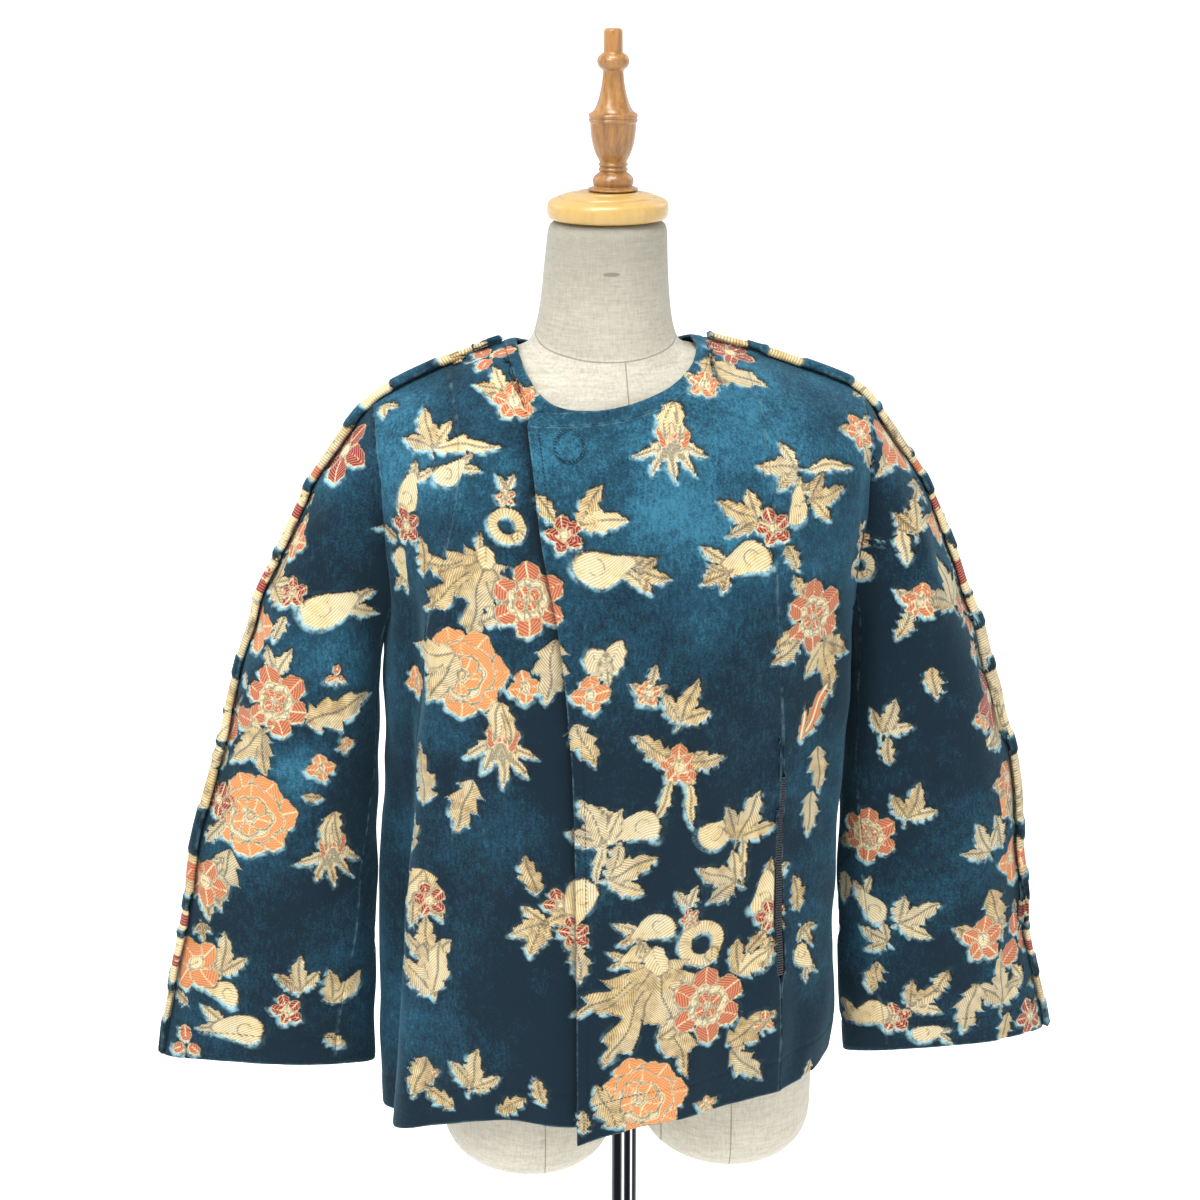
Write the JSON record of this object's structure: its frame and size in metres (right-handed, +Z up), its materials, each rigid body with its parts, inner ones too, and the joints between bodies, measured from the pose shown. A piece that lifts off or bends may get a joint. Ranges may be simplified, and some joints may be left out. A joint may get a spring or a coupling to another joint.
{
  "type": "jacquard jacket on dress form",
  "caption": "Collarless velvet floral jacquard jacket with wide cropped sleeves and a lapped front, on a linen dress form with a turned wooden cap and a chrome pole.",
  "frame": {"origin": "centre of the base plate's underside, on the pole's axis and on the floor", "axes": "+Z up along the pole, front of the jacket towards -Y, the wearer's left towards +X"},
  "size_m": [0.7544, 0.33, 1.5684],
  "materials": {
    "velvet_jacquard": "dark teal velvet with a woven floral pattern in cream, tan, terracotta and crimson",
    "zip_tape": "charcoal woven tape",
    "linen": "plain natural linen, stretched over padding",
    "turned_wood": "honey oak, varnished",
    "chrome": "polished",
    "black_plastic": "satin black"
  },
  "bodies": {
    "root": {"front_left": "velvet_jacquard", "side_front_left": "velvet_jacquard", "front_right": "velvet_jacquard", "side_front_right": "velvet_jacquard", "back": "velvet_jacquard", "neck_band": "velvet_jacquard", "sleeve_front_left": "velvet_jacquard", "sleeve_under_left": "velvet_jacquard", "sleeve_back_left": "velvet_jacquard", "sleeve_front_right": "velvet_jacquard", "sleeve_under_right": "velvet_jacquard", "sleeve_back_right": "velvet_jacquard", "overarm_welt_left": "velvet_jacquard", "overarm_welt_right": "velvet_jacquard", "snap_cover": "velvet_jacquard", "pocket_zip": "zip_tape", "dress_form": "linen", "neck_cap": "turned_wood", "finial": "turned_wood", "pole": "chrome", "pole_collar": "black_plastic", "base_plate": "chrome"}
  },
  "joints": []
}
